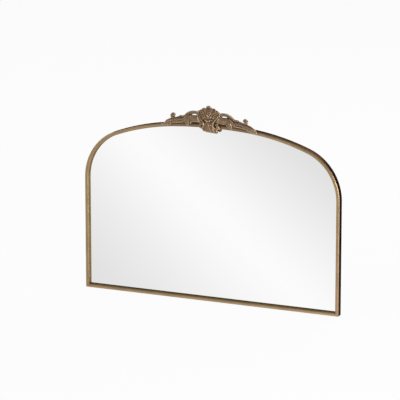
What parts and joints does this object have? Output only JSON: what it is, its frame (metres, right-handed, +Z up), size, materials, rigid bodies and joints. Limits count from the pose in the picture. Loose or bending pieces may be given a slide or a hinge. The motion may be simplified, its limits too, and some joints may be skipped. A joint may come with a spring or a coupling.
{
  "type": "arched wall mirror",
  "caption": "Wide wall or mantel mirror in a slim antique gold metal rail with a flat bottom, round shoulders, a low arched crown and a cast shell and scroll crest.",
  "frame": {"origin": "on the wall plane, midway between the two points where wall hooks carry the hanger rings when they are turned up", "axes": "+X to the viewer's right along the bottom rail, +Y from the mirror's face towards the wall, +Z up"},
  "size_m": [1.016, 0.0483, 0.7359],
  "materials": {
    "rail_gold": "brushed antique gold, darker on the outer side",
    "crest_gold": "cast resin in antique gold with dark recesses and rubbed ridges",
    "mirror": "clear silvered glass",
    "board": "plain fibreboard",
    "steel": "zinc plated",
    "key_metal": "plain cast",
    "rubber": "matte black",
    "foam": "white closed-cell foam with adhesive"
  },
  "bodies": {
    "mirror": {"arch_rail": "rail_gold", "bottom_rail": "rail_gold", "corner_key_left": "key_metal", "corner_key_right": "key_metal", "corner_key_screws": "steel", "mirror_glass": "mirror", "glass_spacers": "rubber", "mounting_tape": "foam", "backing_board": "board", "backing_clips": "steel", "backing_clip_screws": "steel", "hanger_strap_left": "steel", "hanger_strap_right": "steel", "hanger_screws": "steel", "wall_bumpers": "rubber", "crest_cartouche": "crest_gold", "crest_scroll_left": "crest_gold", "crest_scroll_right": "crest_gold", "crest_screws": "steel"},
    "left_ring": {"hanger_ring_left": "steel"},
    "right_ring": {"hanger_ring_right": "steel"}
  },
  "joints": [
    {"name": "left_ring_hinge", "type": "hinge", "parent": "mirror", "child": "left_ring", "pos_m": [-0.33, -0.00285, -0.01575], "axis": [1, 0, 0], "range_deg": [0, 180]},
    {"name": "right_ring_hinge", "type": "hinge", "parent": "mirror", "child": "right_ring", "pos_m": [0.33, -0.00285, -0.01575], "axis": [1, 0, 0], "range_deg": [0, 180]}
  ]
}
